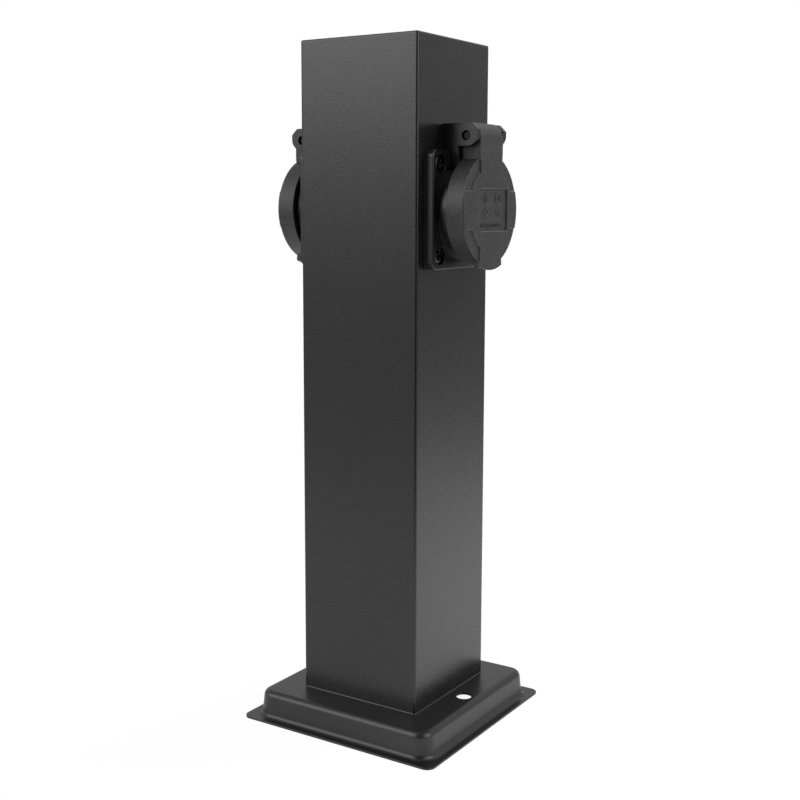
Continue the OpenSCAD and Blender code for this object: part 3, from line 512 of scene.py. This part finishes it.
def lid_spring(side, sign, material):
    """Torsion spring on a hinge pin: a straight leg on the fixed seat, a helix of constant pitch along the
    pin, and a straight leg on the lid's ledge."""
    turn_steps = 24
    leg_steps = 6
    pin = middle(f"hinge_pin_{side}")
    length = SPRING_TURNS * SPRING_PITCH
    turn = np.linspace(0.0, 2.0 * np.pi * SPRING_TURNS, turn_steps * SPRING_TURNS + 1)
    along = length * (turn / turn[-1] - 0.5)
    helix = np.stack([SPRING_COIL_R * np.sin(turn), along, -SPRING_COIL_R * np.cos(turn)], axis=1)
    share = np.linspace(0.0, 1.0, leg_steps)
    fixed = -SPRING_FIXED_LEG + share * (SPRING_FIXED_LEG - SPRING_WIRE_R)
    moving = SPRING_WIRE_R + share * (SPRING_LID_LEG - SPRING_WIRE_R)
    below = np.full(leg_steps, -SPRING_COIL_R)
    fixed_leg = np.stack([fixed, np.full(leg_steps, -length / 2), below], axis=1)
    lid_leg = np.stack([moving, np.full(leg_steps, length / 2), below], axis=1)
    path = pin + np.concatenate([fixed_leg, helix, lid_leg]) * np.array([sign, sign, 1.0])
    piece = surface(f"lid_spring_wire_{side}", round_tube(path, SPRING_WIRE_R))
    piece.data.materials.append(material)
    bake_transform(piece)
    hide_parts(f"lid_spring_{side}")


def ridge(line, closed, width=MARK_WIDTH, arch_steps=7):
    """A low half-round bead carried along a flat line of (across, up) points; an open one runs out to a
    point at both ends. Gives its grid as (across, up, height)."""
    if closed:
        heading = np.roll(line, -1, axis=0) - np.roll(line, 1, axis=0)
        taper = np.ones(len(line))
    else:
        heading = np.gradient(line, axis=0)
        share = np.linspace(-1.0, 1.0, len(line))
        taper = np.sqrt(np.clip(1.0 - share ** 8, 0.0, 1.0))
    heading = unit(heading)
    normal = np.stack([-heading[:, 1], heading[:, 0]], axis=1)
    turn = np.linspace(0.0, np.pi, arch_steps)
    offset = np.cos(turn)[None, :] * taper[:, None] * width / 2.0
    height = np.sin(turn)[None, :] * taper[:, None] * MARK_RISE
    flat = line[:, None] + offset[:, :, None] * normal[:, None]
    top = np.concatenate([flat, height[:, :, None]], axis=2)
    sunk = np.full((len(line), arch_steps, 1), -MARK_SINK)
    foot = np.concatenate([flat[:, ::-1], sunk], axis=2)
    return np.concatenate([top, foot], axis=1), closed, True


def bar(across, up, half_height, width=MARK_WIDTH, steps=13):
    """A ridge along a straight upright line."""
    share = np.linspace(0.0, 1.0, steps)[:, None]
    start = np.array([across, up - half_height])
    end = np.array([across, up + half_height])
    return ridge(start + share * (end - start), False, width)


def drop_outline(steps=40):
    """A drop with its point up: a circle's height, and a width that the half angle's sine draws in."""
    turn = np.linspace(0.0, 2.0 * np.pi, steps, endpoint=False)
    across = np.sin(turn) * np.sin(turn / 2.0) ** 1.5
    return np.stack([across * DROP_HALF_W, np.cos(turn) * DROP_HALF_H], axis=1)


def ring_outline(radius, steps=40):
    """Even steps round a circle."""
    turn = np.linspace(0.0, 2.0 * np.pi, steps, endpoint=False)
    return radius * np.stack([np.cos(turn), np.sin(turn)], axis=1)


def lozenge_outline(radius, steps=10):
    """Straight runs between four corners on the axes."""
    corner = np.array([[0.0, 1.0], [-1.0, 0.0], [0.0, -1.0], [1.0, 0.0]])
    following = np.roll(corner, -1, axis=0)
    share = np.linspace(0.0, 1.0, steps, endpoint=False)[None, :, None]
    return radius * (corner[:, None] * (1.0 - share) + following[:, None] * share).reshape(-1, 2)


def lid_marks(side, sign, material):
    """Plain raised marks in the lid's sunk panel: ridges round a drop, a plug face and a lozenge, and
    upright bars for the plug's pins, two blocks and a row below."""
    beads = [
        ridge(drop_outline() + np.array([LEFT_COLUMN, DROP_UP]), True),
        ridge(ring_outline(PLUG_R) + np.array([RIGHT_COLUMN, PLUG_UP]), True),
        ridge(lozenge_outline(LOZENGE_R) + np.array([LEFT_COLUMN, LOZENGE_UP]), True),
    ]
    for way in (-1, 1):
        beads.append(bar(RIGHT_COLUMN + way * PIN_OUT, PLUG_UP, PIN_HALF_H))
    for way in (-1, 1):
        beads.append(bar(RIGHT_COLUMN + way * BLOCK_OUT, BLOCK_UP, BLOCK_HALF_H, BLOCK_WIDTH))
    for across in np.linspace(BAR_FIRST, BAR_LAST, BAR_COUNT):
        beads.append(bar(across, BAR_UP, BAR_HALF_H))
    low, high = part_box(f"lid_{side}")
    front = high[0] if sign > 0 else -low[0]
    level = front - PANEL_DEPTH
    centre_z = middle(f"rear_cover_{side}")[2]
    sheets = []
    for grid, wrap_rows, wrap_columns in beads:
        out = sign * (level + grid[..., 2])
        across = sign * (grid[..., 0] + PANEL_SHIFT)
        up = centre_z + grid[..., 1]
        sheets.append((np.stack([out, across, up], axis=-1), wrap_rows, wrap_columns))
    dressed(surface(f"lid_marks_{side}", *sheets), LID_BODY[side], material)


def foot_bead(material):
    """Bead of paint round the post's foot: a hollow quarter round carried round a square with rounded
    corners."""
    corner_steps = 7
    arc_steps = 6
    low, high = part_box("post_tube")
    half = high[0] - POST_EDGE_R
    turn = np.linspace(0.0, np.pi / 2.0, corner_steps)
    corner = np.array([[1.0, 1.0], [-1.0, 1.0], [-1.0, -1.0], [1.0, -1.0]])
    angle = turn[None, :] + np.arange(4)[:, None] * np.pi / 2.0
    outward = np.stack([np.cos(angle), np.sin(angle)], axis=-1).reshape(-1, 2)
    centre = np.repeat(corner * half, corner_steps, axis=0)
    swing = np.linspace(0.0, np.pi / 2.0, arc_steps)
    reach = np.concatenate([BEAD_R * (1.0 - np.sin(swing)), [-BEAD_TUCK, -BEAD_TUCK]])
    lift = np.concatenate([BEAD_R * (1.0 - np.cos(swing)), [BEAD_R, 0.0]])
    flat = centre[:, None] + (POST_EDGE_R + reach)[None, :, None] * outward[:, None]
    level = np.broadcast_to(low[2] + lift, flat.shape[:2])[..., None]
    bead = surface("foot_bead", (np.concatenate([flat, level], axis=2), True, True))
    dressed(bead, "stand", material)


def dress_solids():
    """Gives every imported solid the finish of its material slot, or one of its own; returns the first kind."""
    finishes = {
        "powder_coat": powder_coat("powder_coat_black", COAT_EDGE, POST_PEBBLES, POST_ROUGH),
        "black_plastic": moulded_plastic("grained_black_plastic", LID_EDGE),
        "rubber": black_rubber(),
        "black_screw": black_screw(),
        "zinc_steel": plated_metal("zinc_plate", ZINC_TONES, rough=0.28),
        "spring_steel": plated_metal("spring_steel", SPRING_TONES, rough=0.22),
        "brass": plated_metal("brass", BRASS_TONES, rough=0.30),
        "nylon": plain_plastic("natural_nylon", NYLON_TONES, rough=0.42),
        "brown_insulation": plain_plastic("brown_insulation", BROWN_TONES, rough=0.36),
        "blue_insulation": plain_plastic("blue_insulation", BLUE_TONES, rough=0.36),
        "green_insulation": striped_insulation(),
    }
    own = {
        "socket_housing_right": polished_plastic(),
        "hinge_pin_right": plain_plastic("dull_black_pin", PIN_TONES, rough=0.55),
        "base_plate": powder_coat("powder_coat_base", COAT_EDGE, BASE_PEBBLES, BASE_ROUGH),
    }
    own["socket_housing_left"] = own["socket_housing_right"]
    own["hinge_pin_left"] = own["hinge_pin_right"]
    for part in frame["record"]["subparts"]:
        mesh = frame["nodes"][part["node"]].data
        mesh.materials.clear()
        mesh.materials.append(own.get(part["node"], finishes[part["material_slot"]]))
    return finishes


def place_camera():
    """The camera on its sphere about the aim, turned about its own axis by the roll."""
    azimuth = math.radians(CAMERA_AZIMUTH)
    elevation = math.radians(CAMERA_ELEVATION)
    level = math.cos(elevation)
    back = Vector((math.sin(azimuth) * level, -math.cos(azimuth) * level, math.sin(elevation)))
    right = Vector((math.cos(azimuth), math.sin(azimuth), 0.0))
    up = back.cross(right)
    axes = Matrix((right, up, back)).transposed()
    roll = Matrix.Rotation(math.radians(CAMERA_ROLL), 3, "Z")
    data = bpy.data.cameras.new("photo_camera")
    data.lens = CAMERA_LENS
    data.sensor_width = CAMERA_SENSOR
    data.shift_x, data.shift_y = CAMERA_SHIFT
    data.clip_start, data.clip_end = CAMERA_CLIP
    camera = bpy.data.objects.new("photo_camera", data)
    place = CAMERA_AIM + back * CAMERA_DISTANCE
    camera.matrix_world = Matrix.Translation(place) @ (axes @ roll).to_4x4()
    bpy.context.scene.collection.objects.link(camera)
    bpy.context.scene.camera = camera


def soft_lamp(name, place, aim, size, power, mirrored=True):
    """A rectangular softbox that looks at a point, and that shows in reflections or not."""
    data = bpy.data.lights.new(name, "AREA")
    data.shape = "RECTANGLE"
    data.size, data.size_y = size
    data.energy = power
    lamp = bpy.data.objects.new(name, data)
    lamp.location = place
    lamp.visible_glossy = mirrored
    lamp.rotation_euler = (Vector(aim) - Vector(place)).to_track_quat("-Z", "Y").to_euler()
    bpy.context.scene.collection.objects.link(lamp)


def camera_ray(flow):
    """1 for a ray straight from the camera."""
    return flow.make("ShaderNodeLightPath", {}, {}, "Is Camera Ray")


def mirror_ray(flow):
    """1 for a ray that a glossy or a clear surface sends on."""
    glossy = flow.make("ShaderNodeLightPath", {}, {}, "Is Glossy Ray")
    return glossy + flow.make("ShaderNodeLightPath", {}, {}, "Is Transmission Ray")


def sector(flow, toward, way, angles):
    """How far a direction, taken level, points along a way: 1 within the first angle, 0 past the second."""
    level = flow.vector("MULTIPLY", toward, (1.0, 1.0, 0.0))
    facing = flow.vector("DOT_PRODUCT", flow.vector("NORMALIZE", level), way, "Value")
    high, low = [math.cos(math.radians(angle)) for angle in angles]
    gain = 1.0 / (high - low)
    return (gain * facing - gain * low).held(1.0)


def white_room():
    """White to the camera; as light and in reflections, walls that brighten with height, a darker
    ceiling, one pale wall and an unlit side."""
    world = bpy.data.worlds.new("studio")
    world.use_nodes = True
    bpy.context.scene.world = world
    flow = Flow(world.node_tree)
    background = world.node_tree.nodes["Background"]
    background.inputs["Color"].default_value = (1.0, 1.0, 1.0, 1.0)
    toward = flow.make("ShaderNodeTexCoord", {}, {}, "Generated")
    height = flow.make("ShaderNodeSeparateXYZ", {}, {0: toward}, "Z")
    rise = (WALL_RISE * height).held(WALL_RISE_END)
    ceiling = (CEILING_FALL * (height - CEILING_START)).held(CEILING_FALL_END)
    pale = sector(flow, toward, PALE_SIDE, PALE_ANGLES)
    dark = sector(flow, toward, DARK_SIDE, DARK_ANGLES)
    wall = WALL_LEVEL + rise - ceiling + PALE_WALL_LIGHT * pale
    mirrored = mirror_ray(flow)
    white = (camera_ray(flow) + WALL_WHITE_IN_GLOSS * mirrored).held(1.0)
    strength = (wall + (1.0 - wall) * white) * (1.0 - DARK_SIDE_LOSS * dark * mirrored)
    world.node_tree.links.new(strength.socket, background.inputs["Strength"])


def floor_paper(flow, fade, dark):
    """Diffuse floor with painted light: a painted pool of light pale near the post, painted shade darker
    further out, and darkest painted shade on the room's unlit side.
    """
    # painted light: a pale pool near the post falling off to painted shade further out, and painted shade on
    # the room's unlit side
    paper = mixed(flow, fade, *PAINTED_FALLOFF_TONES)
    dimmed = mixed(flow, dark, *PAINTED_UNLIT_TONES)
    settings = {"data_type": "RGBA", "blend_type": "MULTIPLY"}
    colour = flow.make("ShaderNodeMix", settings, {"Factor": 1.0, "A": paper, "B": dimmed}, "Result")
    return flow.make("ShaderNodeBsdfDiffuse", {}, {"Color": colour})


def pale_floor():
    """Flat floor, nearly white to the camera, that keeps the post's shadow."""
    edge = np.linspace(-FLOOR_REACH, FLOOR_REACH, 3)
    across, away = np.meshgrid(edge, edge, indexing="ij")
    grid = np.stack([across, away, np.zeros_like(across)], axis=-1)
    floor = surface("floor", (grid, False, False))
    material = bpy.data.materials.new("pale_floor")
    material.use_nodes = True
    tree = material.node_tree
    tree.nodes.remove(tree.nodes["Principled BSDF"])
    flow = Flow(tree)
    place = object_place(flow)
    far = flow.vector("LENGTH", place, out="Value")
    patch = flow.vector("LENGTH", flow.vector("SUBTRACT", place, PATCH_MIDDLE), out="Value")
    pale = sector(flow, place, PALE_SIDE, PALE_ANGLES)
    dark = sector(flow, place, DARK_SIDE, DARK_ANGLES) * (DARK_RISE * (far - DARK_START)).held(1.0)
    fade = (FADE_RISE * (patch - FADE_START) + FADE_BY_DARK * dark).held(1.0)
    clear = (CLEAR_RISE * (far - CLEAR_START)).held(1.0)
    seen = FLOOR_WHITE + (1.0 - FLOOR_WHITE) * clear
    glint = PATCH_GLINT * (1.0 - fade) + (FAR_GLINT + PALE_GLINT * pale) * fade * (1.0 - dark)
    share = seen * camera_ray(flow) + glint * mirror_ray(flow)
    glow = flow.make("ShaderNodeEmission", {}, {"Color": (1.0, 1.0, 1.0, 1.0), "Strength": 1.0})
    both = flow.make("ShaderNodeMixShader", {}, {0: share, 1: floor_paper(flow, fade, dark), 2: glow})
    tree.links.new(both.socket, tree.nodes["Material Output"].inputs["Surface"])
    floor.data.materials.append(material)


def softboxes():
    """A key at the front left, a larger box at the right, and one aimed at the floor behind that no
    reflection shows."""
    soft_lamp(
        "key_softbox",
        place=(-0.80, -1.20, 0.84),
        aim=(0.0, 0.0, 0.17),
        size=(0.8, 0.95),
        power=6.5,
    )
    soft_lamp(
        "side_softbox",
        place=(1.25, -0.05, 0.88),
        aim=(0.0, 0.0, 0.3),
        size=(1.2, 1.1),
        power=11.5,
    )
    soft_lamp(
        "back_softbox",
        place=(0.35, 0.55, 0.8),
        aim=(0.25, 0.4, 0.0),
        size=(0.5, 0.5),
        power=10.0,
        mirrored=False,
    )


finishes = dress_solids()
marks = moulded_plastic("grained_black_marks", MARK_EDGE)
for side, sign in SIDES.items():
    lid_spring(side, sign, finishes["spring_steel"])
    lid_marks(side, sign, marks)
foot_bead(powder_coat("powder_coat_bead", BEAD_EDGE, POST_PEBBLES, POST_ROUGH))
place_camera()
white_room()
pale_floor()
softboxes()
bpy.context.scene.view_settings.view_transform = "Standard"
